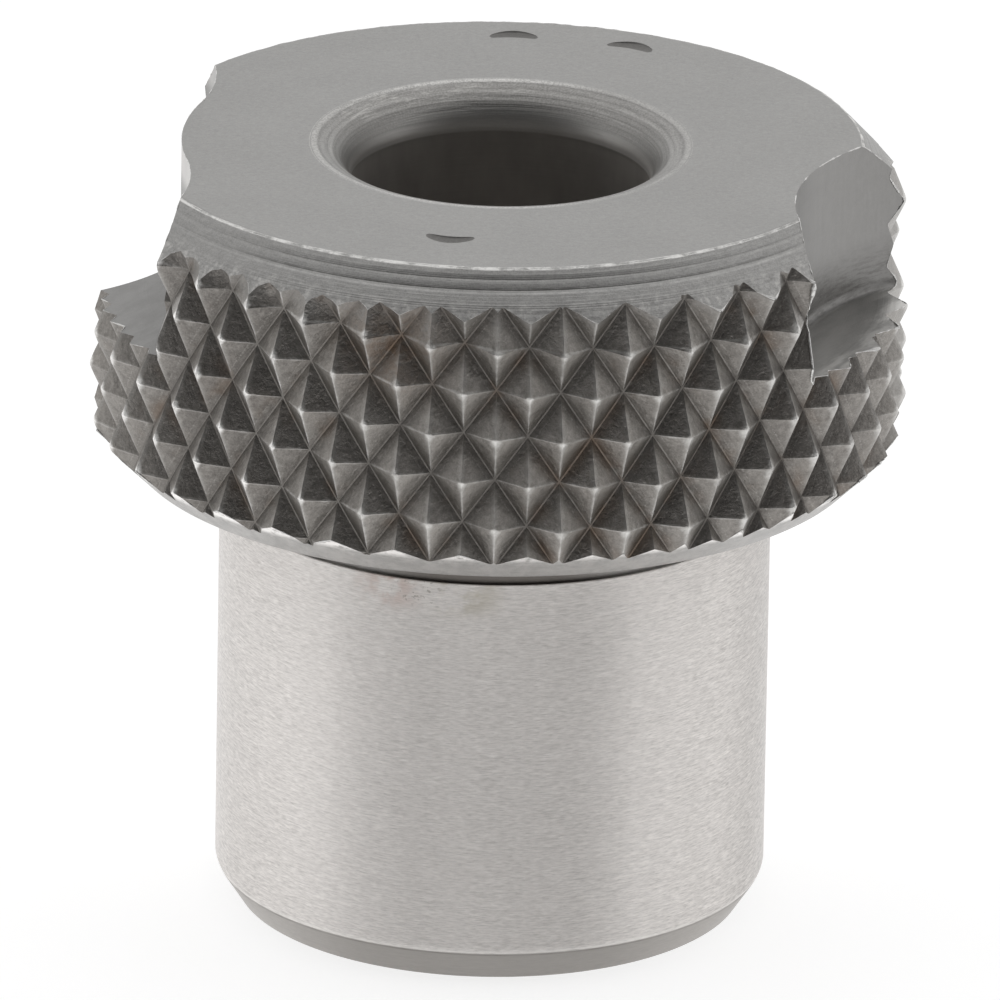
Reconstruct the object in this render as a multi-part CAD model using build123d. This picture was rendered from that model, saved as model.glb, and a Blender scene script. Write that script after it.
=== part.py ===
from build123d import *
import math
import os

# Headed renewable drill bushing, turned, knurled, milled and ground from one piece of tool steel.
# Millimetres, +Z up. The origin is on the axis, in the plane where the head's underside seats.
# Angles are in degrees about +Z, counted from +X. The photographed front faces -Y.

# Body
body_diameter = 19.05
body_length = 16.28
lead_height = 1.22
lead_width = 0.78
lead_blend = 0.7
relief_width = 1.53
relief_depth = 0.2
relief_corner = 0.3

# Bore
bore_diameter = 10.32
entry_radius = 1.46
exit_chamfer = 0.4

# Head
head_height = 11.1
top_face_diameter = 24.92
top_cone_angle = 43.0
seat_diameter = 25.38
under_chamfer_angle = 45.0

# Knurl: right-hand and left-hand grooves of unequal number, so the rows of points drift round the head.
# Near +X the points lag behind their even places and stand lower.
knurl_diameter = 28.2
knurl_depth = 0.68
right_hand_count = 37
left_hand_count = 40
row_pitch = 3.233
point_angle = -80.69
point_height = 8.544
point_lag = 1.2
point_sag = 0.21
lag_sharpness = 14

# Pockets for the head of the lock screw, milled with one cutter whose corner leaves a small fillet
pocket_depth = 5.45
cutter_radius = 8.53
cutter_corner = 0.3
clamp_wall_radius = 10.9
clamp_angle = -16.8
slip_wall_radius = 10.97
slip_entry_angle = 160.8
slip_turn = 30.4
notch_wall_radius = 11.15

# Clearance of every cutting shape past the surface that it runs out of
overrun = 1.0

columns = right_hand_count + left_hand_count
column_step = 360 / columns
knurl_radius = knurl_diameter / 2
floor_height = head_height - pocket_depth


def turned_blank():
    """Revolve the half section of bore, body, relief groove and head, with the knurl band left full."""
    bore = bore_diameter / 2
    body = body_diameter / 2
    full = knurl_radius + overrun
    cone_drop = (full - top_face_diameter / 2) / math.tan(math.radians(top_cone_angle))
    under_rise = (full - seat_diameter / 2) * math.tan(math.radians(under_chamfer_angle))
    lead_corner = (body, lead_height - body_length)
    seat_corner = (body - relief_depth, 0)
    entry_corner = (bore, head_height)
    section = make_face(
        Polyline(
            (bore + exit_chamfer, -body_length),
            (body - lead_width, -body_length),
            lead_corner,
            (body, -relief_width),
            (body - relief_depth, -relief_width),
            seat_corner,
            (seat_diameter / 2, 0),
            (full, under_rise),
            (full, head_height - cone_drop),
            (top_face_diameter / 2, head_height),
            entry_corner,
            (bore, exit_chamfer - body_length),
            close=True,
        )
    )
    roundings = ((lead_corner, lead_blend), (seat_corner, relief_corner), (entry_corner, entry_radius))
    for corner, radius in roundings:
        section = fillet(section.vertices().sort_by_distance((*corner, 0))[0], radius)
    return revolve(Plane.XZ * section, Axis.Z)


def lattice_point(column, rise, radius):
    """Place a corner of the knurl: whole columns round from the first point, and a height above it."""
    angle = math.radians(point_angle + column * column_step)
    share = ((1 + math.cos(angle)) / 2) ** lag_sharpness
    angle -= math.radians(point_lag) * share
    return (
        round(radius * math.cos(angle), 9),
        round(radius * math.sin(angle), 9),
        round(point_height + rise - point_sag * share, 9),
    )


def pyramid(column, rise):
    """Give the four sloping triangles of one knurl point; the grooves run along their outer edges."""
    skew = row_pitch * (left_hand_count - right_hand_count) / (2 * columns)
    root = knurl_radius - knurl_depth
    peak = lattice_point(column, rise, knurl_radius)
    foot = [
        lattice_point((column + 1) % columns, rise - skew, root),
        lattice_point(column, rise + row_pitch / 2, root),
        lattice_point((column - 1) % columns, rise + skew, root),
        lattice_point(column, rise - row_pitch / 2, root),
    ]
    return [(peak, foot[i], foot[(i + 1) % 4]) for i in range(4)]


def knurl_triangles():
    """Cover the head's side with pyramids; each column of points starts a little higher than the last."""
    triangles = []
    for column in range(columns):
        shift = row_pitch * right_hand_count * column / columns
        first = math.floor((shift + point_height - head_height) / row_pitch) - 1
        last = math.ceil((shift + point_height) / row_pitch) + 1
        for row in range(first, last + 1):
            triangles += pyramid(column, shift - row * row_pitch)
    return triangles


def knurl_envelope():
    """Close the knurled skin into a solid by plain walls above and below it, and two flat ends."""
    triangles = knurl_triangles()
    uses = {}
    for triangle in triangles:
        for i in range(3):
            edge = tuple(sorted((triangle[i], triangle[(i + 1) % 3])))
            uses[edge] = uses.get(edge, 0) + 1
    rims = [edge for edge, count in uses.items() if count == 1]
    faces = [Face(Wire.make_polygon(triangle)) for triangle in triangles]
    upper_end = head_height + 3 * row_pitch
    lower_end = -body_length - 3 * row_pitch
    for end in (upper_end, lower_end):
        rim = [edge for edge in rims if (edge[0][2] > head_height / 2) == (end > 0)]
        corners = {point[:2] for edge in rim for point in edge}
        ring = sorted(corners, key=lambda point: math.atan2(point[1], point[0]))
        faces.append(Face(Wire.make_polygon([(x, y, end) for x, y in ring])))
        for a, b in rim:
            wall = [a, b, (b[0], b[1], end), (a[0], a[1], end)]
            faces.append(Face(Wire.make_polygon(wall)))
    return Solid(Shell(faces))


def cutter_section(inner, outer, floor):
    """Half section of the milling cutter from its wall side outward, with its rounded lower corner."""
    top = head_height + overrun
    corner = min(cutter_corner, (top - floor) / 2, (outer - inner) / 2)
    sketch = make_face(
        [
            Polyline((inner, floor + corner), (inner, top), (outer, top), (outer, floor), (inner + corner, floor)),
            CenterArc((inner + corner, floor + corner), corner, 180, 90),
        ]
    )
    return Plane.XZ * sketch


def plunge(wall_radius, angle, floor):
    """Cutter standing at one place round the head, its side reaching in to the wall radius."""
    section = cutter_section(-cutter_radius, 0, floor)
    tool = revolve(section, Axis.Z)
    return Rot(Z=angle) * Pos(X=wall_radius + cutter_radius) * tool


def slip_pocket():
    """Feed the cutter round the axis over the ledge, from the entry notch to the end of the turn."""
    path_section = cutter_section(slip_wall_radius, slip_wall_radius + cutter_radius, floor_height)
    path = Rot(Z=slip_entry_angle) * revolve(path_section, Axis.Z, revolution_arc=slip_turn)
    entry = plunge(slip_wall_radius, slip_entry_angle, floor_height)
    end = plunge(slip_wall_radius, slip_entry_angle + slip_turn, floor_height)
    return path + entry + end


def entry_notch():
    """Straight notch through the whole head, where the bushing drops past the lock screw's head."""
    through = Cylinder(cutter_radius, head_height + 2 * overrun)
    return Rot(Z=slip_entry_angle) * Pos(notch_wall_radius + cutter_radius, 0, head_height / 2) * through


bushing = turned_blank() & knurl_envelope()
bushing -= plunge(clamp_wall_radius, clamp_angle, floor_height)
bushing -= slip_pocket()
bushing -= entry_notch()

os.makedirs("parts", exist_ok=True)
export_step(bushing, "parts/drill_bushing.step")
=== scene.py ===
import math

import bpy
from mathutils import Matrix, Vector, noise


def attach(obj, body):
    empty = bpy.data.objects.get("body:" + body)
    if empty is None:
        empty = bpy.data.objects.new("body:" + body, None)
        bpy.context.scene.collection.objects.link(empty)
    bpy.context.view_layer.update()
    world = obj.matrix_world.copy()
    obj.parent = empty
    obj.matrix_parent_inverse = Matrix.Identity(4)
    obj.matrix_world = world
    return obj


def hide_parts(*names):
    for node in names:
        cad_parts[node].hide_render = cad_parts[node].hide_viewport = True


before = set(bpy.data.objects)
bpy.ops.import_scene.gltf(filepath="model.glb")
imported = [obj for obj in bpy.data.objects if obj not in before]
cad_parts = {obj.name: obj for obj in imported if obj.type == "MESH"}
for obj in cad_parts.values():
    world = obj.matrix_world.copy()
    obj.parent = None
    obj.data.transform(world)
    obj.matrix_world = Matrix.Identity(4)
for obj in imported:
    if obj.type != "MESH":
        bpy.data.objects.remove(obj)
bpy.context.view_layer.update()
scene = bpy.context.scene
MM = 0.001

# Sizes of the drill bushing in millimetres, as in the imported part. Angles are in degrees about +Z from +X.
BODY_R, BODY_LENGTH = 9.525, 16.28
LEAD_HEIGHT, LEAD_WIDTH, LEAD_BLEND = 1.22, 0.78, 0.7
RELIEF_WIDTH, RELIEF_DEPTH, RELIEF_CORNER = 1.53, 0.2, 0.3
HEAD_HEIGHT, TOP_R, CONE_ANGLE, SEAT_R = 11.1, 12.46, 43.0, 12.69
BORE_R, ENTRY_R, EXIT_CHAMFER = 5.16, 1.46, 0.4
KNURL_R, KNURL_DEPTH = 14.1, 0.68
RIGHT_HAND, LEFT_HAND = 37, 40
PITCH, POINT_ANGLE, POINT_HEIGHT = 3.233, -80.69, 8.544
POINT_LAG, POINT_SAG, LAG_SHARPNESS = 1.2, 0.21, 14
FLOOR_Z, CUTTER_R, CUTTER_CORNER = 5.65, 8.53, 0.3
CLAMP_WALL_R, CLAMP_ANGLE = 10.9, -16.8
SLIP_WALL_R, SLIP_ANGLE, SLIP_TURN = 10.97, 160.8, 30.4
NOTCH_WALL_R = 11.15
COLUMNS = RIGHT_HAND + LEFT_HAND
CONE_SLOPE = math.tan(math.radians(CONE_ANGLE))
LEAD_TOP = LEAD_HEIGHT - BODY_LENGTH

# Radius of the head's blank, outside the knurl's points
FULL_R = KNURL_R + 1.0

# Drops of the two turning lines below the top of the cone
UPPER_LINE, LOWER_LINE = 0.31, 0.6

# Blunting of a knurl point and start of the flat groove floor, as shares of the way from point to groove
BLUNTING, FLAT_START = 0.07, 0.97

# A row of knurl points below the first has the small faults of the row that lies this many higher
FAULT_ROWS = 997

# Order of the finishes on the bushing
TURNED, KNURLED, GROUND, BORED, MILLED, STAMPED = range(6)

# Shader helpers


class Value:
    """One output of a node tree. Arithmetic on it adds math nodes to the same tree."""

    def __init__(self, make, socket):
        self.make = make
        self.socket = socket

    def __add__(self, other):
        return self.make.math("ADD", self, other)

    def __sub__(self, other):
        return self.make.math("SUBTRACT", self, other)

    def __rsub__(self, other):
        return self.make.math("SUBTRACT", other, self)

    def __mul__(self, other):
        return self.make.math("MULTIPLY", self, other)

    def __truediv__(self, other):
        return self.make.math("DIVIDE", self, other)

    def __abs__(self):
        return self.make.math("ABSOLUTE", self)

    def clamped(self):
        """The same value, kept between 0 and 1."""
        self.socket.node.use_clamp = True
        return self

    def swing(self, amount):
        """How far a noise lies above or below its middle, times an amount."""
        return (self - 0.5) * amount


class Shader:
    """Builds the node tree of one material or world. Its methods add nodes and give back their values."""

    def __init__(self, owner):
        owner.use_nodes = True
        self.owner = owner
        self.tree = owner.node_tree
        self.tree.nodes.clear()

    def add(self, kind, inputs=(), output=0, **settings):
        """Add a node, fill its inputs by number or name, and give back one of its outputs."""
        made = self.tree.nodes.new(kind)
        for name, value in settings.items():
            setattr(made, name, value)
        for key, value in dict(inputs).items():
            if isinstance(value, Value):
                self.tree.links.new(value.socket, made.inputs[key])
            else:
                made.inputs[key].default_value = value
        return Value(self, made.outputs[output])

    def math(self, operation, *values):
        return self.add("ShaderNodeMath", enumerate(values), operation=operation)

    def larger(self, first, second):
        return self.math("MAXIMUM", first, second)

    def vector(self, x, y, z=0.0):
        return self.add("ShaderNodeCombineXYZ", enumerate((x, y, z)))

    def split(self, vector):
        """The three parts of a vector."""
        first = self.add("ShaderNodeSeparateXYZ", {0: vector})
        return [Value(self, out) for out in first.socket.node.outputs]

    def place(self):
        """Coordinates on the piece in millimetres: the vector, x, y, z and the distance from the axis."""
        where = self.add("ShaderNodeTexCoord", output="Object")
        where = self.add("ShaderNodeVectorMath", {0: where, "Scale": 1 / MM}, operation="SCALE")
        self.x, self.y, self.z = self.split(where)
        radius = self.math("SQRT", self.x * self.x + self.y * self.y)
        return where, self.x, self.y, self.z, radius

    def noise(self, where, scale, detail=2.0, roughness=0.5):
        inputs = {"Vector": where, "Scale": scale, "Detail": detail, "Roughness": roughness}
        return self.add("ShaderNodeTexNoise", inputs, "Fac")

    def drawn(self, across, up, detail=2.0, roughness=0.5):
        """Noise with its own scales across and along the axis, so that it is drawn out round or along it."""
        return self.noise(self.vector(self.x * across, self.y * across, self.z * up), 1.0, detail, roughness)

    def round_axis(self, height, along, around):
        """Noise in short streaks round the axis, with its scales for a height and the angle in radians."""
        angle = self.math("ARCTAN2", self.y, self.x) * around
        return self.noise(self.vector(height * along, angle), 1.0, 3.0, 0.75)

    def ramp(self, value, low, high, out_low=0.0, out_high=1.0, smooth=True):
        """Take a value from one range to another, held at the ends."""
        numbers = enumerate((value, low, high, out_low, out_high))
        course = "SMOOTHSTEP" if smooth else "LINEAR"
        return self.add("ShaderNodeMapRange", numbers, interpolation_type=course)

    def between(self, share, out_low, out_high):
        """Go from one number to another with a share that runs from 0 to 1."""
        return self.ramp(share, 0.0, 1.0, out_low, out_high)

    def line(self, value, centre, half):
        """One on a line of the value, falling to nothing at half a width to each side."""
        return (1.0 - abs(value - centre) / half).clamped()

    def blend(self, factor, first, second):
        """Go from the first colour to the second."""
        first, second = ((*c, 1.0) if isinstance(c, tuple) else c for c in (first, second))
        return self.add("ShaderNodeMix", {0: factor, 6: first, 7: second}, 2, data_type="RGBA")

    def close(self, shader, output="ShaderNodeOutputMaterial"):
        """End the tree with its output node."""
        self.tree.links.new(shader.socket, self.tree.nodes.new(output).inputs["Surface"])

    def metal(self, colour, roughness, height, strength, distance, anisotropy=0.0, turn=0.0):
        """Close the tree with a metal and its bump, whose distance is in millimetres."""
        bump = self.add("ShaderNodeBump", {"Strength": strength, "Distance": distance * MM, "Height": height})
        inputs = {
            "Metallic": 1.0,
            "Anisotropic": anisotropy,
            "Anisotropic Rotation": turn,
            "Base Color": colour,
            "Roughness": roughness,
            "Normal": bump,
        }
        if anisotropy:
            inputs["Tangent"] = self.add("ShaderNodeTangent", direction_type="RADIAL", axis="Z")
        self.close(self.add("ShaderNodeBsdfPrincipled", inputs))
        return self.owner


def steel(name):
    return Shader(bpy.data.materials.new(name))


# Finishes of the steel


def turned_steel():
    """Hardened grey steel with turning rings, strong on the cone and faint on the flat top."""
    make = steel("hardened_turned_steel")
    where, x, y, z, r = make.place()
    drop = HEAD_HEIGHT - z
    cone = make.ramp(r, TOP_R - 0.16, TOP_R + 0.04)
    grain = make.noise(where, 9.0, 4.0, 0.7)
    rings = make.noise(make.vector(r, 0.0), 9.0, 4.0, 0.7)
    # the bare metal's tone comes from broken rings, clouds, scratches, grain, specks and streaks
    drift = make.noise(where, 0.22, 1.0) * 0.35
    broken = make.noise(make.vector(r, drift), 8.0, 4.0, 0.75)
    scratch = make.noise(make.vector(x * 0.6, y + make.drawn(0.7, 0.7)), 6.0, 3.0, 0.7)
    tone = broken.swing(make.between(cone, 0.1, make.ramp(y, -5.0, -11.0, 0.5, 0.9)))
    tone += make.noise(where, 0.35, 3.0, 0.5).swing(0.16)
    tone += scratch.swing(0.42)
    tone += grain.swing(make.between(cone, 0.65, 0.4))
    tone += make.noise(where, 17.0, 2.0, 0.6).swing(make.between(cone, 0.4, 0.75))
    tone += make.round_axis(drop, 13.0, 26.0).swing(cone * 0.75)
    colour = make.blend((tone + 0.5).clamped(), (0.212, 0.209, 0.204), (0.476, 0.469, 0.457))
    # painted shade on the cone, stronger on its left side
    colour = make.blend(cone * make.ramp(x, -9.0, -3.0, 0.22, 0.04), colour, (0.2, 0.197, 0.19))
    # painted shade in two turning lines round the cone, stronger in front, and a painted highlight below them
    near = cone * make.ramp(make.drawn(0.3, 0.0), 0.3, 0.6, 0.55, 1.0)
    near *= make.ramp(y, -5.0, -12.0, 0.3, 1.0)
    near *= make.ramp(make.noise(where, 2.6, 4.0, 0.75), 0.3, 0.62, 0.25, 1.15)
    near *= make.ramp(x, -9.5, -6.0, 0.3, 1.0)
    for centre, half, share in ((UPPER_LINE, 0.04, 0.42), (LOWER_LINE - 0.025, 0.055, 0.62)):
        colour = make.blend(make.line(drop, centre, half) * near * share, colour, (0.1, 0.098, 0.093))
    colour = make.blend(make.line(drop, LOWER_LINE + 0.08, 0.05) * near * 0.45, colour, (0.66, 0.65, 0.635))
    # the rim is bright and wider at the sides: partly worn metal, partly a painted highlight
    inner = make.ramp(abs(x), 5.0, 11.0, TOP_R - 0.13, TOP_R - 0.06)
    rim = make.ramp(r, inner, inner + 0.07) * make.ramp(drop, 0.08, 0.05)
    worn = make.ramp(make.noise(where, 1.6, 4.0, 0.7), 0.38, 0.6, 0.12, 0.85)
    colour = make.blend(rim * worn, colour, (0.82, 0.81, 0.79))
    # metal torn light and dark where the knurl's points start
    tears = make.noise(where, 3.4, 4.0, 0.7)
    torn = make.ramp(tears, 0.48, 0.66) - make.ramp(tears, 0.44, 0.3)
    torn = make.ramp(r, KNURL_R - 0.9, KNURL_R - 0.5) * torn
    colour = make.blend((torn * 0.5).clamped(), colour, (0.62, 0.605, 0.585))
    colour = make.blend((torn * -0.4).clamped(), colour, (0.11, 0.105, 0.1))
    # the chamfer under the head is paler, and bright at its edge
    under = make.ramp(z, 2.2, 1.8)
    mottle = make.ramp(make.noise(where, 1.7, 4.0, 0.7), 0.35, 0.65, 0.3, 0.62)
    colour = make.blend(under * mottle, colour, (0.6, 0.583, 0.566))
    peak = make.ramp(r, KNURL_R - 0.65, KNURL_R - 0.35)
    peak *= make.ramp(make.noise(where, 2.2, 3.0, 0.6), 0.3, 0.5)
    colour = make.blend(peak * under, colour, (0.97, 0.95, 0.93))
    # painted shade in the relief groove under the head, dark in front and fading at the sides
    relief = make.ramp(r, BODY_R + 0.095, BODY_R - 0.015)
    relief *= make.ramp(z, -RELIEF_WIDTH - 0.09, -RELIEF_WIDTH - 0.01)
    relief *= make.ramp(abs(x), 2.0, 5.5, 1.0, 0.15)
    colour = make.blend(relief * make.ramp(z, 0.3, 0.1), colour, (0.165, 0.152, 0.14))
    roughness = make.ramp(grain, 0.2, 0.8, 0.40, 0.52, smooth=False)
    return make.metal(colour, roughness, rings * make.between(cone, 0.2, 2.0) + grain * 0.45, 0.5, 0.03)


class KnurlPlace:
    """Where a spot lies on its pyramid of the knurl, and the noises that the parts of its paint share.

    a and b run from -1 to 1 across the right-hand and the left-hand grooves, with the point at 0, 0.
    """

    def __init__(self, make):
        self.where, self.x, self.y, self.z, self.r = make.place()
        lag = make.math("POWER", self.x / self.r * 0.5 + 0.5, float(LAG_SHARPNESS))
        angle = make.math("ARCTAN2", self.y, self.x) / (2 * math.pi)
        angle = angle + lag * (POINT_LAG / 360) - POINT_ANGLE / 360
        rise = (self.z + lag * POINT_SAG - POINT_HEIGHT) / PITCH
        across = (angle * float(RIGHT_HAND) - rise, angle * float(LEFT_HAND) + rise)
        self.a, self.b = ((turns - make.math("ROUND", turns)) * 2.0 for turns in across)
        self.far_a, self.far_b = abs(self.a), abs(self.b)
        self.far = make.larger(self.far_a, self.far_b)
        self.steep = self.far_a - self.far_b
        self.off_ridge = abs(self.steep)
        self.upright = make.math("LESS_THAN", self.a * self.b, 0.0)
        self.aside = make.ramp(abs(self.x), 5.0, 11.0)
        # the two lower flanks of a pyramid
        self.right_flank = make.ramp(self.steep, 0.0, 0.06) * make.ramp(self.a, 0.0, 0.06)
        self.left_flank = make.ramp(self.steep, 0.0, -0.06) * make.ramp(self.b, 0.0, -0.06)
        self.smear = make.drawn(2.2, 2.2, 4.0, 0.65)
        self.wander = self.smear.swing(0.26)
        self.speck = make.noise(self.where, 15.0, 3.0, 0.7)
        self.blot = make.noise(self.where, 3.2, 4.0, 0.65)


def knurl_tone_and_shading(make, at):
    """Tone of the four flanks: random grain, with painted light and shade that depend on the side of the head
    that they are on.
    """
    x = at.x
    tone = at.speck.swing(1.1) + at.blot.swing(1.3)
    tone += make.noise(at.where, 6.5, 3.0, 0.7).swing(0.8)
    tone += make.between(at.aside, 0.66, 0.42)
    # painted light: the right lower flank is painted lighter than the left one in front, and less so towards
    # the sides
    tone += (at.right_flank * 0.3 - at.left_flank * 0.14) * make.between(at.aside, 1.0, 0.0)
    tone -= at.right_flank * make.ramp(x, 7.5, 10.5, 0.0, 0.4)
    tone -= at.right_flank * (make.ramp(x, -2.0, -6.0, 0.0, 0.42) - make.ramp(x, -8.0, -9.5, 0.0, 0.25))
    tone += at.left_flank * make.ramp(x, -0.5, -3.0, 0.0, 0.3)
    # painted shade: the upper flanks are darker at the sides, save those that look outward on the left
    outward = make.ramp(at.steep, 0.0, 0.06) * make.ramp(at.a, 0.0, -0.06)
    outward = outward * make.ramp(x, -5.0, -9.0, 1.0, 2.2) * make.ramp(x, -4.0, -6.0)
    tone -= make.ramp(at.b - at.a, 0.0, 0.1) * make.ramp(abs(x), 2.0, 6.0, 0.0, 0.14) * (1.0 - outward)
    # painted light: the flanks are lighter at the far left and the far right
    tone += make.ramp(x, -10.5, -13.0, 0.0, 0.35)
    return (tone + make.ramp(x, 12.0, 13.4, 0.0, 0.2)).clamped()


def knurl_highlights(make, at):
    """Painted highlights on the points, and on the ridges below the points, a little above them and in a thin
    line aside, partly burnished metal.
    """
    patch = make.noise(at.where, 0.9, 2.0, 0.5)
    downward = at.a - at.b
    below = at.upright * make.ramp(downward, 0.0, 0.25)
    sideways = 1.0 - at.upright
    taper = make.ramp(at.far, 0.0, 0.9, 1.5, 0.4, smooth=False)
    width = below * (taper * make.ramp(patch, 0.35, 0.65, 0.05, 0.13))
    width = width + sideways * (taper * 0.045) + 0.035
    ridge = (1.0 - (at.off_ridge + at.wander) / width).clamped()
    ridge *= make.ramp(at.far, 0.7, 1.0, 1.0, 0.0)
    shine = make.ramp(at.smear, 0.4, 0.6, 0.02, 0.16) + below * make.between(at.aside, 0.6, 0.25)
    shine += sideways * make.ramp(patch, 0.35, 0.65, 0.1, 0.5)
    ridge = ridge * shine * make.between(at.aside, 1.0, 0.4)
    turned_away = make.ramp(at.steep, 0.0, 0.06) * make.ramp(at.x, -2.0, -8.0)
    lower = make.ramp(downward, 0.0, 0.1) * (1.0 - turned_away)
    reach = make.ramp(patch, 0.3, 0.7, 0.14, 0.24) + at.aside * 0.06 + lower * 0.13
    point = make.ramp(at.far + at.wander, at.aside * 0.03 + 0.05, reach, 1.0, 0.0)
    low = make.larger(make.ramp(downward, -0.1, 0.06, 0.15, 1.0), make.ramp(at.x, -0.5, -5.0))
    return make.larger(ridge, point * make.larger(low, at.aside))


def knurl_groove_shade(make, at):
    """How far a spot is down in a groove, as painted shade: one family shows more of it on the left, the
    other on the right.
    """
    x = at.x
    rising = make.ramp(x, -1.5, -7.0, 1.0, 0.45) * make.ramp(x, 9.0, 12.0, 1.0, 0.8)
    falling = make.ramp(x, 1.5, 7.0, 1.0, 0.3) * make.ramp(x, -3.0, -8.0, 1.0, 0.5)
    bands = []
    for across, share in ((at.far_a, rising), (at.far_b, falling)):
        across = across + at.wander * 1.2
        sunk = make.ramp(across, 0.4, 0.85) * make.ramp(across, 0.9, 1.0, 1.0, 0.88)
        bands.append(sunk * share)
    return make.larger(*bands)


def knurled_steel():
    """Darker rolled steel: painted highlights on the blunt points and partly burnished ridges, painted shade
    on the dull groove floors, and a trace of brown.
    """
    make = steel("hardened_knurled_steel")
    at = KnurlPlace(make)
    x, y, z, r, far, aside, blot = at.x, at.y, at.z, at.r, at.far, at.aside, at.blot
    colour = make.blend(knurl_tone_and_shading(make, at), (0.168, 0.157, 0.146), (0.364, 0.345, 0.322))
    # painted shade on the right lower flanks at the far right
    colour = make.blend(at.right_flank * make.ramp(x, 11.0, 13.0, 0.0, 0.6), colour, (0.09, 0.084, 0.077))
    # a painted soft highlight along the upright ridges
    ridge_sheen = at.upright * make.ramp(at.off_ridge, 0.0, 0.35, 1.0, 0.0)
    ridge_sheen *= make.ramp(far, 0.5, 0.95, 1.0, 0.0)
    colour = make.blend(ridge_sheen * 0.3, colour, (0.5, 0.488, 0.47))
    # the grooves are dull and painted dark as shade, with soft and wandering edges, and darker still on their
    # floors
    groove_shade = knurl_groove_shade(make, at)
    colour = make.blend(groove_shade * 0.42, colour, (0.075, 0.068, 0.061))
    bottom = make.ramp(far, 0.95, 0.972) * make.ramp(blot, 0.38, 0.62, 0.42, 0.66)
    colour = make.blend(bottom * groove_shade, colour, (0.05, 0.045, 0.04))
    # a faint broken line marks the edge of each groove's floor
    edge = make.line(far, 0.79, 0.035) * make.ramp(at.speck, 0.42, 0.62)
    colour = make.blend(edge * 0.26, colour, (0.6, 0.58, 0.55))
    # near the cone the upper flanks fade into its colour
    gap = HEAD_HEIGHT - z - (r - TOP_R) / CONE_SLOPE + blot.swing(0.9)
    fade = make.ramp(gap, 0.05, 0.6, 0.7, 0.0) * (1.0 - groove_shade)
    dim_side = aside * make.ramp(x * (at.a + at.b), 0.0, -0.1)
    colour = make.blend(fade * (1.0 - dim_side * 0.8), colour, (0.33, 0.322, 0.31))
    # brown oil in the grooves, and more of it in one place on the left
    oil = make.ramp(make.noise(at.where, 0.42, 3.0, 0.6), 0.5, 0.68)
    stain = make.line(x, -3.6, 2.6) * (make.line(z, 8.4, 2.4) * make.ramp(y, -8.0, -10.0))
    stain *= make.ramp(blot, 0.35, 0.6, 0.3, 1.0)
    brown = make.larger(oil * make.ramp(far, 0.5, 1.0, 0.06, 0.5), stain * 0.75)
    colour = make.blend(brown, colour, (0.16, 0.108, 0.072))
    # painted light on the right side, towards the back
    pale = make.ramp(y, -3.0, 0.5) * make.ramp(x, 8.0, 13.0)
    colour = make.blend(pale * 0.5, colour, (0.52, 0.51, 0.495))
    # the painted highlights are milder on the lower flanks in front and stronger on the left
    mild = make.larger(at.left_flank, at.right_flank * make.ramp(x, -1.0, -3.0))
    bright = knurl_highlights(make, at) * (1.0 - mild * 0.22)
    glint = make.blend(make.ramp(x, -5.0, -8.5), (0.72, 0.71, 0.69), (0.98, 0.965, 0.945))
    colour = make.blend(bright * make.ramp(blot, 0.3, 0.6, 0.5, 1.0), colour, glint)
    grain = make.noise(at.where, 8.0, 5.0, 0.7)
    roughness = make.ramp(grain, 0.2, 0.8, 0.3, 0.46, smooth=False)
    return make.metal(colour, roughness, grain + blot * 1.2, 0.45, 0.05)


def ground_steel():
    """Bright cylindrical grinding: short fine dashes round the body, and a faint stain under the head."""
    make = steel("hardened_ground_steel")
    where, x, y, z, _ = make.place()
    dashes = make.drawn(1.1, 12.0, 4.0, 0.7)
    fine = make.drawn(3.5, 24.0, 2.0, 0.6)
    streak = make.drawn(1.2, 16.0, 4.0, 0.75)
    tone = dashes.swing(1.1) + 0.5 + fine.swing(1.1)
    tone = (tone + make.noise(where, 0.25, 2.0, 0.5).swing(0.08)).clamped()
    # two broad painted highlights run down the front, and the right side has painted shade
    highlight_bands = make.line(x, -5.7, 3.2) + make.line(x, 5.0, 2.0) + make.line(x, -1.0, 5.0) * 0.5
    tone = (tone + highlight_bands * 0.22 - make.ramp(x, 7.6, 9.2, 0.0, 0.2)).clamped()
    colour = make.blend(tone, (0.44, 0.42, 0.404), (1.0, 0.965, 0.935))
    # brown stains and dark dots under the head, in front
    front = make.ramp(y, 0.0, -4.0)
    high = make.ramp(z, -3.0, -2.0) * make.ramp(make.noise(where, 1.1, 3.0, 0.6), 0.36, 0.6) * front
    for centre, half, shade in ((-3.6, 1.3, (0.56, 0.42, 0.37)), (-1.0, 1.5, (0.46, 0.42, 0.32))):
        colour = make.blend(high * make.line(x, centre, half) * 0.8, colour, shade)
    dots = make.line(x, -2.6, 1.3) * make.ramp(z, -2.6, -2.2)
    dots *= front * make.ramp(make.noise(where, 6.5, 2.0, 0.5), 0.6, 0.68)
    colour = make.blend(dots * 0.6, colour, (0.16, 0.13, 0.1))
    # the lead: a painted highlight above it, its darker face, partly painted shade, and a painted dark line
    # of shade between them
    edge = make.line(z, LEAD_TOP, 0.07) * make.ramp(dashes, 0.35, 0.65, 0.15, 0.7)
    colour = make.blend(edge, colour, (0.95, 0.93, 0.9))
    lead = make.ramp(z, LEAD_TOP - 0.03, LEAD_TOP - 0.09) * make.ramp(abs(x), 4.0, 8.0, 0.88, 0.72)
    colour = make.blend(lead, colour, make.blend(streak, (0.3, 0.285, 0.268), (0.43, 0.41, 0.39)))
    rim = make.line(z, LEAD_TOP - 0.11, 0.06) * make.ramp(streak, 0.35, 0.65, 0.1, 0.6)
    colour = make.blend(rim, colour, (0.16, 0.15, 0.14))
    roughness = make.ramp(dashes, 0.3, 0.7, 0.42, 0.54, smooth=False)
    return make.metal(colour, roughness, dashes + fine * 0.5, 0.3, 0.012, anisotropy=0.9, turn=0.25)


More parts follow.
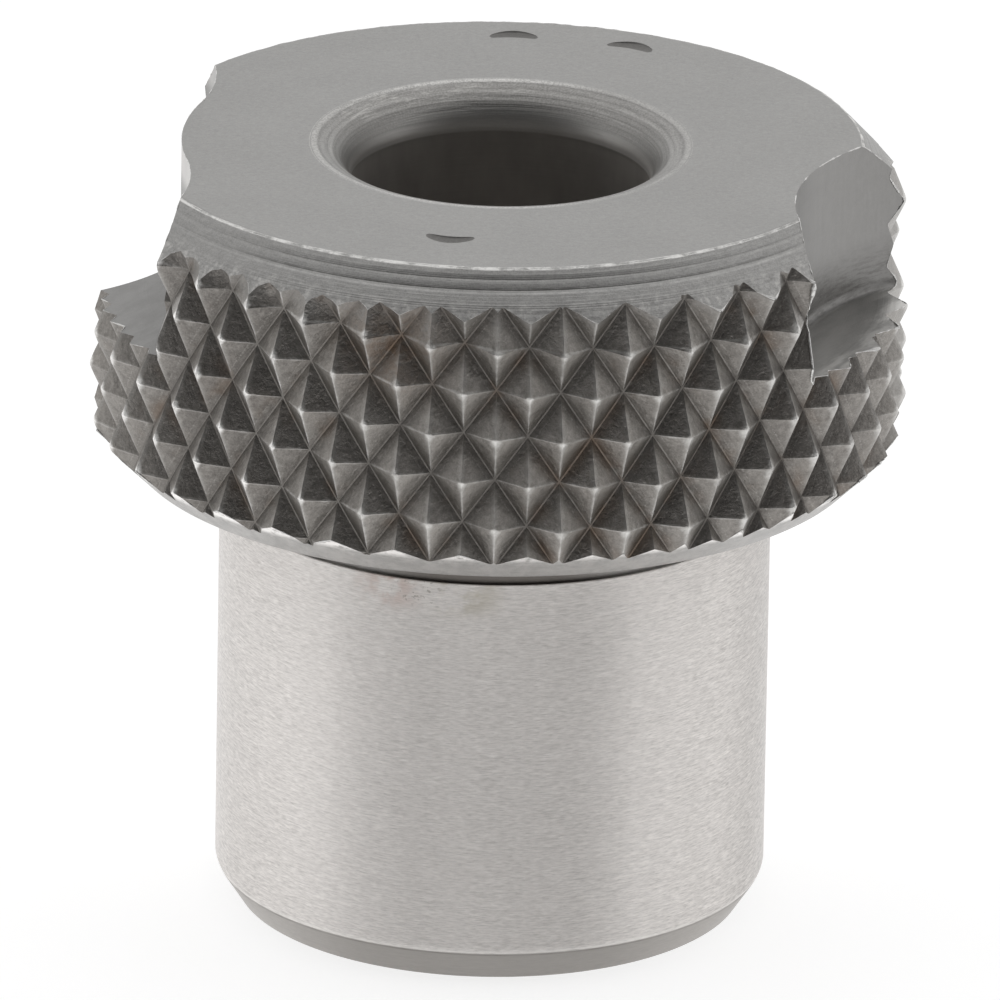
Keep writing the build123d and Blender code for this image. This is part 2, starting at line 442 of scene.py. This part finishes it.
def bored_steel():
    """Rounded entry with turning rings, darker towards the bore, whose wall is dark and even."""
    make = steel("hardened_bored_steel")
    where, x, y, z, _ = make.place()
    depth = HEAD_HEIGHT - z
    drift = make.noise(where, 0.2, 1.0) * 0.5
    rings = make.noise(make.vector(depth, drift), 8.0, 4.0, 0.72)
    speck = make.noise(where, 15.0, 2.0, 0.6)
    upper = make.ramp(depth, 0.35, 1.25, 1.0, 0.3)
    dark = (0.1, 0.097, 0.09)
    tone = rings.swing(upper * 1.5)
    tone += make.noise(where, 8.0, 4.0, 0.7).swing(0.25)
    tone += speck.swing(upper * 1.1)
    colour = make.blend((tone + 0.5).clamped(), (0.175, 0.171, 0.164), (0.45, 0.44, 0.425))
    # single dark rings: depth, half width and strength
    upper_rings = ((0.07, 0.02, 0.3), (0.19, 0.02, 0.2), (0.3, 0.03, 0.25))
    lower_rings = ((0.5, 0.035, 0.3), (0.72, 0.04, 0.35))
    for centre, half, share in upper_rings + lower_rings:
        ring = make.line(depth + drift * 0.12, centre, half)
        colour = make.blend(ring * share, colour, (0.08, 0.077, 0.072))
    # painted shade on a band in the middle of the entry, stronger in front
    middle = make.ramp(depth, 0.2, 0.32) * make.ramp(depth, 0.7, 0.85, 1.0, 0.0)
    colour = make.blend(middle * make.ramp(y, 2.0, 4.5, 0.35, 0.12), colour, dark)
    # bright flecks at the back of the mouth
    fleck = make.ramp(make.round_axis(depth, 16.0, 5.0), 0.52, 0.64) * make.ramp(depth, 0.5, 0.3)
    fleck *= make.ramp(y, 1.0, 4.0) * make.ramp(x, 3.5, -1.0)
    colour = make.blend(fleck * 0.3, colour, (0.8, 0.78, 0.75))
    # painted light: the throat is lighter at the back and sides; painted shade: the left side is darker above
    # it
    side_light = make.ramp(abs(x), 1.0, 4.2, 0.44, 0.0)
    colour = make.blend(make.ramp(depth, 0.5, 0.95) * side_light, colour, (0.74, 0.725, 0.7))
    sideways = make.ramp(depth, 0.85, 1.2) * make.ramp(abs(x), 1.2, 4.0, 0.0, 0.95)
    colour = make.blend(sideways, colour, (0.92, 0.9, 0.87))
    left_shade = make.ramp(x, -2.5, -5.5) * make.ramp(depth, 0.35, 0.6)
    colour = make.blend(left_shade * 0.3, colour, dark)
    # bright edge of the mouth: partly worn metal, partly a painted highlight
    mouth = make.ramp(depth, 0.06, 0.01) * make.ramp(speck, 0.28, 0.62, 0.1, 0.55)
    mouth *= make.ramp(x, 4.0, 1.0, 0.3, 1.0) * make.ramp(x, -2.5, -5.5, 1.0, 0.5)
    colour = make.blend(mouth, colour, (0.8, 0.79, 0.77))
    wall = make.blend(make.drawn(0.8, 0.35, 3.0, 0.6), (0.3, 0.282, 0.264), (0.46, 0.437, 0.413))
    colour = make.blend(make.ramp(depth, ENTRY_R - 0.08, ENTRY_R + 0.01), colour, wall)
    return make.metal(colour, make.ramp(depth, 1.3, 1.6, 0.42, 0.6), rings * upper, 0.55, 0.04)


def milled_steel():
    """Walls and floors of the pockets, with faint upright streaks and smeared dark scratches low down."""
    make = steel("hardened_milled_steel")
    where, x, y, z, r = make.place()
    grain = make.noise(where, 8.0, 4.0, 0.7)
    sweep = make.noise(make.vector(r, z * 0.4), 5.0, 3.0, 0.6)
    tone = make.drawn(5.0, 0.5, 3.0, 0.6).swing(0.14) + 0.5 + grain.swing(0.35)
    colour = make.blend((tone + sweep.swing(0.2)).clamped(), (0.186, 0.182, 0.177), (0.363, 0.357, 0.348))
    # dark scratches round the foot of the walls, with painted shade where the walls meet the floor
    up = z - FLOOR_Z
    foot = make.ramp(up, 2.2, 0.5) * make.ramp(up, 0.0, 0.02)
    scuffs_and_shade = make.ramp(make.drawn(1.6, 9.0, 4.0, 0.7), 0.4, 0.65, 0.32, 0.72)
    colour = make.blend(foot * scuffs_and_shade, colour, (0.11, 0.106, 0.1))
    # the clamp pocket's floor is painted light with smears, and more so at its outer edge: painted light; the
    # ledge is smeared dark
    smears = make.noise(make.vector(x * 0.9 + y * -0.45, y * 0.3), 1.6, 4.0, 0.6)
    on_floor = make.ramp(up, 0.03, 0.0)
    outer = make.ramp(r, KNURL_R - 1.7, KNURL_R - 0.5, 0.0, 0.5)
    lit = make.ramp(smears, 0.35, 0.65, 0.3, 0.5) + outer * make.ramp(smears, 0.42, 0.6)
    colour = make.blend(on_floor * make.ramp(x, -1.0, 1.0) * lit, colour, (0.66, 0.65, 0.63))
    ledge = on_floor * make.ramp(x, 1.0, -1.0)
    colour = make.blend(ledge * make.ramp(smears, 0.35, 0.65, 0.35, 0.15), colour, (0.1, 0.098, 0.094))
    # painted highlight: a bright lip at the top of the slip pocket
    lip_highlight = make.ramp(z, HEAD_HEIGHT - 1.5, HEAD_HEIGHT - 0.7) * make.ramp(x, -9.5, -10.5)
    colour = make.blend(lip_highlight * 0.6, colour, (0.8, 0.78, 0.76))
    roughness = make.ramp(grain, 0.2, 0.8, 0.36, 0.46, smooth=False)
    return make.metal(colour, roughness, grain * 0.5 + sweep, 0.35, 0.03)


def speckled_steel(name, scale, detail, roughness, dark, light, gloss):
    """Plain steel whose tone and bump come from one noise."""
    make = steel(name)
    grain = make.noise(make.place()[0], scale, detail, roughness)
    return make.metal(make.blend(grain, dark, light), gloss, grain, 0.4, 0.03)


# Mesh helpers


def new_object(name, points, faces, finishes):
    """Make a mesh object from points in millimetres."""
    mesh = bpy.data.meshes.new(name)
    mesh.from_pydata([tuple(c * MM for c in p) for p in points], [], faces)
    mesh.polygons.foreach_set("material_index", finishes)
    mesh.update()
    made = bpy.data.objects.new(name, mesh)
    scene.collection.objects.link(made)
    return made


def lathe(name, profile, finishes, segments, waver=None):
    """Revolve a profile that starts and ends on the axis. waver moves a point by its place round the axis."""
    points = [(0, 0, profile[0][1])]
    for r, z in profile[1:-1]:
        for s in range(segments):
            t = 2 * math.pi * s / segments
            dr, dz = waver(r, z, t) if waver else (0, 0)
            points.append(((r + dr) * math.cos(t), (r + dr) * math.sin(t), z + dz))
    points.append((0, 0, profile[-1][1]))
    faces = []
    marks = []
    last = len(profile) - 3
    for s in range(segments):
        n = (s + 1) % segments
        faces.append((0, 1 + n, 1 + s))
        marks.append(finishes[0])
        for k in range(last):
            low = 1 + k * segments
            high = low + segments
            faces.append((low + s, low + n, high + n, high + s))
            marks.append(finishes[k + 1])
        top = 1 + last * segments
        faces.append((top + s, top + n, len(points) - 1))
        marks.append(finishes[-1])
    return new_object(name, points, faces, marks)


def arc(centre, radius, start, end, count):
    """Points on an arc in the profile plane; angles in degrees."""
    angles = [math.radians(start + (end - start) * i / count) for i in range(count + 1)]
    return [(centre[0] + radius * math.cos(t), centre[1] + radius * math.sin(t)) for t in angles]


def uneven(place, scale, seed=0.0):
    """Smooth noise between about -1 and 1 at a point."""
    return noise.noise(Vector((place[0] * scale + seed, place[1] * scale, place[2] * scale)))


def within(value):
    """Hold a number between 0 and 1."""
    return min(1.0, max(0.0, value))


def joined(start, q, n):
    """The four corners of a face between two rings of n points each, the first of which begins at start."""
    t = (q + 1) % n
    return start + q, start + n + q, start + n + t, start + t


# The bushing's body, turned


def rim_wear(r, z, t):
    """Uneven wear of the rim between the top face and the cone."""
    if z > HEAD_HEIGHT - 0.06 and r > TOP_R - 0.05:
        spot = (math.cos(t) * 12, math.sin(t) * 12, 0)
        worn = 0.02 * uneven(spot, 1.3) + 0.015 * uneven(spot, 4.1, 7.0)
        return worn, -abs(worn) * 0.3
    return 0, 0


def turned_body():
    """Body, relief groove and head, with the knurl band left full."""
    chamfer_r = BODY_R - LEAD_WIDTH
    lower = [(0, -BODY_LENGTH), (chamfer_r - 0.05, -BODY_LENGTH)]
    # the lead runs into the ground body over a soft blend
    bend = math.pi / 2 - math.atan2(LEAD_HEIGHT, LEAD_WIDTH)
    centre = (BODY_R - LEAD_BLEND, LEAD_TOP + LEAD_BLEND * math.tan(bend / 2))
    ground = [(chamfer_r + 0.01, -BODY_LENGTH + 0.04)]
    ground += arc(centre, LEAD_BLEND, -math.degrees(bend), 0, 6)
    ground += [(BODY_R, z) for z in (-12.0, -8.0, -4.0, -RELIEF_WIDTH - 0.025)]
    # relief groove with a square end, its edge barely broken, and a rounded corner at the seat
    groove_r = BODY_R - RELIEF_DEPTH
    head = [(BODY_R - 0.025, -RELIEF_WIDTH), (groove_r, -RELIEF_WIDTH), (groove_r, -RELIEF_CORNER)]
    head += arc((groove_r + RELIEF_CORNER, -RELIEF_CORNER), RELIEF_CORNER, 180, 90, 5)[1:]
    head += [(SEAT_R - 0.04, 0), (SEAT_R + 0.02, 0.03), (FULL_R, FULL_R - SEAT_R)]
    # the cone carries two turning lines near the rim, cut square to it
    square_out, square_up = 0.73, 0.68
    head += [(FULL_R, HEAD_HEIGHT - (FULL_R - TOP_R) / CONE_SLOPE)]
    for drop, depth, half in ((LOWER_LINE, 0.014, 0.035), (UPPER_LINE, 0.01, 0.025)):
        for k, cut in ((1, 0.0), (0, depth), (-1, 0.0)):
            z = HEAD_HEIGHT - drop - k * half
            r = TOP_R + (HEAD_HEIGHT - z) * CONE_SLOPE
            head.append((r - cut * square_out, z - cut * square_up))
    head += [(TOP_R + 0.045, HEAD_HEIGHT - 0.05), (TOP_R - 0.035, HEAD_HEIGHT - 0.012)]
    head += [(TOP_R - 0.12, HEAD_HEIGHT), (9.0, HEAD_HEIGHT), (0, HEAD_HEIGHT)]
    marks = [TURNED] * len(lower) + [GROUND] * len(ground) + [TURNED] * (len(head) - 1)
    return lathe("body", lower + ground + head, marks, 360, rim_wear)


def bore_tool():
    """Bore, rounded entry with turning rings, and the broken edge at the bottom."""
    centre = (BORE_R + ENTRY_R, HEAD_HEIGHT - ENTRY_R)
    profile = [(0, -BODY_LENGTH - 1), (BORE_R + EXIT_CHAMFER + 1, -BODY_LENGTH - 1)]
    profile += [(BORE_R, EXIT_CHAMFER - BODY_LENGTH), (BORE_R, 0), (BORE_R, centre[1] - 1)]
    # two waves make the fine turning rings, which fade towards the bore, and three rings are cut deeper
    count = 36
    deep_rings = (14, 20, 26)
    for i, (r, z) in enumerate(arc(centre, ENTRY_R, 180, 91, count)):
        share = i / count
        ring = max(0.0, (share - 0.15) / 0.85)
        cut = 0.007 * ring * math.sin(i * 2.1) + 0.005 * ring * math.sin(i * 5.3 + 1.0)
        if i in deep_rings:
            cut = 0.012
        if share > 0.9:
            cut *= 0.3
        profile.append((r + cut * (1 - share), z - cut * share))
    mouth = profile[-1][0] + 0.03
    profile += [(mouth, HEAD_HEIGHT + 0.004), (mouth, HEAD_HEIGHT + 1), (0, HEAD_HEIGHT + 1)]
    return lathe("bore_tool", profile, [BORED] * (len(profile) - 1), 256)


# The knurl


def knurl_spot(cell_a, cell_b, a, b, seed_row):
    """Point of the knurl's skin in one pyramid, at a and b from -1 to 1 across it, with its small faults."""
    scatter, pitting, sinking = 0.03, 0.03, 0.15
    wear, wear_reach, wear_spread = 0.2, 0.7, 38
    right = cell_a + a / 2
    left = cell_b + b / 2
    # every point is a little off its place, and the row next to the cone sits lower
    column = (cell_a + cell_b) % COLUMNS
    jitter = [uneven((column * 1.7, seed_row * 2.3, q), 1.31, 5.0 * q) for q in (1, 2, 3)]
    inner = (1 - abs(a)) * (1 - abs(b))
    right += scatter * jitter[0] * inner
    left += scatter * jitter[1] * inner
    far = max(abs(a), abs(b))
    flat = 1 + BLUNTING - math.sqrt(FLAT_START**2 + BLUNTING**2)
    rise = max(0.0, (1 + BLUNTING - math.sqrt(far * far + BLUNTING * BLUNTING) - flat) / (1 - flat))
    root = KNURL_R - KNURL_DEPTH
    radius = root + KNURL_DEPTH * rise * (1 - scatter * abs(jitter[2]))
    spot = (right * 3.0, left * 3.0, 0.0)
    radius -= pitting * abs(uneven(spot, 0.9, 40.0)) * (0.4 + 0.6 * far)
    turn = math.radians(POINT_ANGLE + 360 * (right + left) / COLUMNS)
    lag = ((1 + math.cos(turn)) / 2) ** LAG_SHARPNESS
    turn -= math.radians(POINT_LAG) * lag
    z = POINT_HEIGHT + PITCH * (RIGHT_HAND * left - LEFT_HAND * right) / COLUMNS - POINT_SAG * lag
    if POINT_HEIGHT + PITCH * (RIGHT_HAND * cell_b - LEFT_HAND * cell_a) / COLUMNS > HEAD_HEIGHT - PITCH:
        z -= sinking * inner
    # the grooves run out a little shallower into the cone, and blunt on the left
    shallow = 0.03 + 0.1 * within(-radius * math.cos(turn) / 5)
    shallow *= within((z - HEAD_HEIGHT + 2.1) / 0.8) * (1 + 0.5 * uneven(spot, 1.7, 60.0))
    radius = max(radius, root + shallow)
    # the points that the slip pocket's floor cuts are worn blunt
    if abs(math.degrees(turn) % 360 - 180) < wear_spread and abs(z - FLOOR_Z) < wear_reach:
        worn = wear * (1 - ((z - FLOOR_Z) / wear_reach) ** 2) * (1 + 0.6 * uneven(spot, 1.1, 80.0))
        radius = min(radius, KNURL_R - worn)
    return radius * math.cos(turn), radius * math.sin(turn), z


def knurl_skin():
    """Points and triangles of the knurl, all round the head and past both its ends."""
    # steps from a point out to the middle of its groove, closer together where the skin bends
    half = [0.05, 0.12, 0.3, 0.6, FLAT_START, 1.0]
    steps = [-s for s in reversed(half)] + [0.0] + half[:-1]
    per_cell = len(steps)
    numbers = {}
    points = []

    def vertex(i, j):
        """Number of the point that lies i steps across one family and j steps across the other."""
        turns = (i + j) // (COLUMNS * per_cell)
        i -= RIGHT_HAND * per_cell * turns
        j -= LEFT_HAND * per_cell * turns
        if (i, j) not in numbers:
            numbers[i, j] = len(points)
            row = i // per_cell
            # past the last column a row below the first keeps its own number
            seed_row = row if turns else row % FAULT_ROWS
            a, b = steps[i % per_cell], steps[j % per_cell]
            points.append(knurl_spot(row, j // per_cell, a, b, seed_row))
        return numbers[i, j]

    faces = []
    for column in range(COLUMNS):
        shift = RIGHT_HAND * column / COLUMNS
        first = math.floor(shift - (HEAD_HEIGHT + 0.6 - POINT_HEIGHT) / PITCH)
        last = math.ceil(shift + (POINT_HEIGHT + 0.9) / PITCH)
        for row in range(first, last + 1):
            for m in range(per_cell):
                for n in range(per_cell):
                    i, j = row * per_cell + m, (column - row) * per_cell + n
                    p, q, r, s = vertex(i, j), vertex(i + 1, j), vertex(i + 1, j + 1), vertex(i, j + 1)
                    # each cell is split along the ridge that passes through it
                    if (m >= per_cell // 2) == (n >= per_cell // 2):
                        faces += [(p, q, r), (p, r, s)]
                    else:
                        faces += [(p, q, s), (q, r, s)]
    return points, faces


def knurl_shell():
    """Close the skin into a solid by walls above and below it and an end at each."""
    points, faces = knurl_skin()
    edges = {}
    for face in faces:
        for q in range(3):
            edge = (face[q], face[(q + 1) % 3])
            if (edge[1], edge[0]) in edges:
                del edges[edge[1], edge[0]]
            else:
                edges[edge] = True
    upper_end, lower_end = HEAD_HEIGHT + 5, -BODY_LENGTH - 5
    centre = {}
    for level in (upper_end, lower_end):
        centre[level] = len(points)
        points.append((0, 0, level))
    ends = {}
    for a, b in edges:
        level = upper_end if points[a][2] > HEAD_HEIGHT / 2 else lower_end
        for v in (a, b):
            if v not in ends:
                ends[v] = len(points)
                points.append((points[v][0], points[v][1], level))
        faces.append((b, a, ends[a], ends[b]))
        faces.append((ends[b], ends[a], centre[level]))
    return new_object("knurl_shell", points, faces, [KNURLED] * len(faces))


# Milling and punching


def milling_tool(name, outline, floor, top, corner):
    """Solid of the swept cutter: an outline with its outward normals, and a rounded lower corner."""
    rings = [(0.0, top), (0.0, floor + corner)]
    if corner:
        for i in range(1, 5):
            t = math.pi / 2 * i / 4
            rings.append((corner * (1 - math.cos(t)), floor + corner * (1 - math.sin(t))))
    points = []
    faces = []
    n = len(outline)
    for inset, z in rings:
        points += [(x - nx * inset, y - ny * inset, z) for x, y, nx, ny in outline]
    for k in range(len(rings) - 1):
        faces += [joined(k * n, s, n) for s in range(n)]
    faces.append(tuple(range(n)))
    faces.append(tuple(reversed(range((len(rings) - 1) * n, len(rings) * n))))
    return new_object(name, points, faces, [MILLED] * len(faces))


def cutter_outline(wall_radius, start, turn=0.0):
    """Plan of the cutter fed round the axis by a turn, counter-clockwise."""
    half, steps = 80, 48
    if turn:
        feed = [turn * s / steps for s in range(steps)]
        sweep = [180 * s / half for s in range(half)]
        spots = [(start + f, start + f) for f in feed]
        spots += [(start + turn, start + turn + s) for s in sweep]
        spots += [(start + turn - f, start + turn - f + 180) for f in feed]
        spots += [(start, start + 180 + s) for s in sweep]
    else:
        spots = [(start, 180 * s / half) for s in range(2 * half)]
    middle = wall_radius + CUTTER_R
    outline = []
    for centre_angle, direction in spots:
        c, d = math.radians(centre_angle), math.radians(direction)
        x = middle * math.cos(c) + CUTTER_R * math.cos(d)
        y = middle * math.sin(c) + CUTTER_R * math.sin(d)
        outline.append((x, y, math.cos(d), math.sin(d)))
    return outline


def witness_mark(name, radius, angle, width):
    """Rounded groove bent round the axis: a plain punched arc in the top face."""
    length, bow_height = 1.7, 0.28
    steps, sides = 20, 10
    points = []
    faces = []
    spread = math.degrees(length / radius)
    for i in range(steps + 1):
        share = i / steps
        size = width * (0.25 + 0.75 * math.sin(math.pi * share) ** 0.5)
        t = math.radians(angle + spread * (share - 0.5))
        bow = bow_height * math.sin(math.pi * share)
        for s in range(sides):
            u = 2 * math.pi * s / sides
            r = radius + bow + size * math.cos(u)
            points.append((r * math.cos(t), r * math.sin(t), HEAD_HEIGHT + 0.04 + 0.4 * size * math.sin(u)))
    for i in range(steps):
        faces += [joined(i * sides, s, sides) for s in range(sides)]
    faces.append(tuple(range(sides)))
    faces.append(tuple(reversed(range(steps * sides, (steps + 1) * sides))))
    return new_object(name, points, faces, [STAMPED] * len(faces))


def combine(target, tools):
    """Cut or intersect the target with each tool in turn, then bake the result into its mesh."""
    for operation, tool in tools:
        cut = target.modifiers.new(tool.name, "BOOLEAN")
        cut.operation = operation
        cut.object = tool
        cut.solver = "MANIFOLD"
    graph = bpy.context.evaluated_depsgraph_get()
    mesh = bpy.data.meshes.new_from_object(target.evaluated_get(graph), depsgraph=graph)
    target.modifiers.clear()
    old = target.data
    target.data = mesh
    bpy.data.meshes.remove(old)
    for _, tool in tools:
        bpy.data.objects.remove(tool, do_unlink=True)


def bushing_body():
    """The whole bushing with its finishes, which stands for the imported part's one node."""
    body = turned_body()
    clamp = cutter_outline(CLAMP_WALL_R, CLAMP_ANGLE)
    slip = cutter_outline(SLIP_WALL_R, SLIP_ANGLE, SLIP_TURN)
    notch = cutter_outline(NOTCH_WALL_R, SLIP_ANGLE)
    top = HEAD_HEIGHT + 2
    tools = [("INTERSECT", knurl_shell())] + [
        ("DIFFERENCE", tool)
        for tool in (
            bore_tool(),
            milling_tool("clamp_tool", clamp, FLOOR_Z, top, CUTTER_CORNER),
            milling_tool("slip_tool", slip, FLOOR_Z, top, CUTTER_CORNER),
            milling_tool("notch_tool", notch, -3, HEAD_HEIGHT + 3, 0),
            witness_mark("mark_a", 10.85, 88.0, 0.38),
            witness_mark("mark_b", 10.85, 66.0, 0.38),
            witness_mark("mark_c", 9.6, -100.0, 0.36),
        )
    ]
    stamped = ("hardened_stamped_steel", 10.0, 4.0, 0.7, (0.14, 0.136, 0.13), (0.27, 0.264, 0.255), 0.6)
    finishes = [turned_steel(), knurled_steel(), ground_steel(), bored_steel(), milled_steel()]
    finishes.append(speckled_steel(*stamped))
    for item in [body] + [tool for _, tool in tools]:
        for material in finishes:
            item.data.materials.append(material)
    combine(body, tools)
    body.name = "bushing_body"
    body.data.shade_smooth()
    body.data.set_sharp_from_angle(angle=math.radians(24))
    # the top face is shaded flat
    for polygon in body.data.polygons:
        if polygon.normal.z > 0.99999 and abs(polygon.center.z / MM - HEAD_HEIGHT) < 0.002:
            polygon.use_smooth = False
    weighted = body.modifiers.new("even_normals", "WEIGHTED_NORMAL")
    weighted.mode = "FACE_AREA"
    weighted.keep_sharp = True
    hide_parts("drill_bushing")
    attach(body, "root")
    return body


# Burrs along the cut edges. The cutter also left lumps of metal, each with its place, reach and height.
LUMPS = (
    (Vector((10.7, -8.8, 9.15)), 0.45, 0.15),
    (Vector((10.8, -8.7, 6.8)), 1.2, 0.085),
    (Vector((-13.0, -4.0, 5.65)), 0.4, 0.05),
    (Vector((9.24, -10.3, 9.33)), 0.3, 0.13),
    (Vector((7.48, -11.65, 9.32)), 0.3, 0.1),
)


def burr_size(kind, start, end):
    """Width of the burr on an edge between two finishes, and how much of the edge stays free of it."""
    tip = within((math.hypot(*(start + end).xy) / 2 - (KNURL_R - 0.6)) / 0.4)
    if kind == (TURNED, MILLED):
        return 0.034, 0.28
    if kind == (TURNED, KNURLED):
        # only the blunt tops of the cut points carry a burr, and those under the head a larger one
        return (0.055 if start.z < 3 else 0.015) * tip, 0.1
    if kind == (KNURLED, MILLED):
        # the cutter left more metal on the tips of the points, and less at the worn ledge
        return (0.022, 0.5) if start.x < -8 else (0.024 + 0.04 * tip, 0.25 - 0.2 * tip)
    on_rim = all(abs(p.z - HEAD_HEIGHT) < 0.06 and math.hypot(p.x, p.y) > TOP_R - 0.05 for p in (start, end))
    if kind == (TURNED, TURNED) and on_rim and abs(start.z - end.z) < 0.03:
        return 0.02, 0.15
    return None


def burr_width(spot, size, free, kind):
    """Uneven width of a burr at one spot of its edge."""
    swell = uneven(spot, 2.1, 3.0) + 0.7 * uneven(spot, 6.3, 9.0) - free
    width = size * min(1.6, max(0.0, 0.55 + 1.3 * swell))
    if KNURLED in kind:
        for centre, reach, lift in LUMPS:
            width = max(width, lift * math.exp(-(((spot - centre).length / reach) ** 2)) * (1 + 0.4 * swell))
    return width


def edge_burrs(source):
    """Thin uneven beads of raised metal on the rim, the pockets' edges and the ends of the grooves."""
    mesh = source.data
    sides = {}
    for polygon in mesh.polygons:
        for key in polygon.edge_keys:
            sides.setdefault(key, []).append(polygon)
    points = []
    faces = []
    for (a, b), pair in sides.items():
        if len(pair) != 2:
            continue
        kind = tuple(sorted(side.material_index for side in pair))
        start = mesh.vertices[a].co / MM
        end = mesh.vertices[b].co / MM
        size = burr_size(kind, start, end)
        first, second = (Vector(side.normal) for side in pair)
        dull = kind != (TURNED, TURNED) and first.angle(second, 0.0) < math.radians(20)
        run = end - start
        if size is None or dull or run.length < 0.01:
            continue
        out = (first + second).normalized()
        side = out.cross(run.normalized())
        count = max(1, math.ceil(run.length / 0.14))
        spots = [start + run * (i / count) for i in range(count + 1)]
        beads = [(spot, burr_width(spot, *size, kind)) for spot in spots]
        for two in zip(beads, beads[1:]):
            if max(width for _, width in two) < 0.004:
                continue
            base = len(points)
            for spot, width in two:
                width = max(width, 0.002)
                points += [spot + side * width, spot + out * width * 0.7]
                points += [spot - side * width, spot - out * width * 0.8]
            ring = [(base + s, base + (s + 1) % 4) for s in range(4)]
            faces += [(s, t, t + 4, s + 4) for s, t in ring]
    made = new_object("edge_burrs", points, faces, [0] * len(faces))
    # the burrs are bright partly as bare metal and partly as a painted highlight
    bright = ("bright_burr_steel", 6.0, 3.0, 0.6, (0.5, 0.495, 0.485), (0.86, 0.85, 0.83), 0.42)
    made.data.materials.append(speckled_steel(*bright))
    made.data.shade_smooth()
    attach(made, "root")


# Camera, floor and light


def aim_camera():
    """Long lens at the photograph's viewing angle, with its small roll."""
    tilt, roll = math.radians(20.8), math.radians(0.96)
    target, distance = Vector((0.171, 0, -2.02)) * MM, 0.8
    lens_to_sensor = 23.16
    across = Vector((1, 0, 0))
    above = Vector((0, math.sin(tilt), math.cos(tilt)))
    ahead = Vector((0, math.cos(tilt), -math.sin(tilt)))
    side = across * math.cos(roll) + above * math.sin(roll)
    lift = above * math.cos(roll) - across * math.sin(roll)
    spot = target - ahead * distance
    lens = bpy.data.cameras.new("camera")
    lens.sensor_width = 36
    lens.lens = lens_to_sensor * lens.sensor_width
    lens.clip_start = 0.05
    lens.clip_end = 20
    camera = bpy.data.objects.new("camera", lens)
    rows = [(side[i], lift[i], -ahead[i], spot[i]) for i in range(3)]
    camera.matrix_world = Matrix((*rows, (0, 0, 0, 1)))
    scene.collection.objects.link(camera)
    scene.camera = camera


def lay_floor():
    """Pale floor that keeps the bushing's shadow."""
    size = 2500
    z = -BODY_LENGTH - 0.02
    corners = [(-size, -size, z), (size, -size, z), (size, size, z), (-size, size, z)]
    floor = new_object("floor", corners, [(0, 1, 2, 3)], [0])
    make = Shader(bpy.data.materials.new("pale_floor"))
    paper = make.add("ShaderNodeBsdfDiffuse", {"Color": (0.45, 0.45, 0.45, 1)})
    glow = make.add("ShaderNodeEmission", {"Color": (1, 1, 1, 1), "Strength": 0.76})
    make.close(make.add("ShaderNodeAddShader", {0: paper, 1: glow}))
    floor.data.materials.append(make.owner)


def light_world():
    """White surroundings at the sides and behind, and a dimmer room on the camera's side."""
    scene.world = bpy.data.worlds.new("studio")
    make = Shader(scene.world)
    x, y, z = make.split(make.add("ShaderNodeTexCoord", output="Generated"))
    room = make.ramp(y + z * z * 0.12, -0.62, 0.05, 0.04, 1.0)
    room *= make.ramp(x, 0.45, 0.95, 1.0, 0.95)
    room *= make.ramp(x, -0.45, -0.95, 1.0, 0.93)
    kinds = ("Camera", "Glossy", "Transmission")
    seen, glossy, through = (make.add("ShaderNodeLightPath", output=f"Is {kind} Ray") for kind in kinds)
    level = room * make.ramp((glossy + through).clamped(), 0.0, 1.0, 0.9, 1.0, smooth=False)
    sky = {"Color": (1, 1, 1, 1), "Strength": make.larger(level, seen)}
    make.close(make.add("ShaderNodeBackground", sky), "ShaderNodeOutputWorld")


edge_burrs(bushing_body())
aim_camera()
lay_floor()
light_world()
scene.view_settings.view_transform = "Standard"
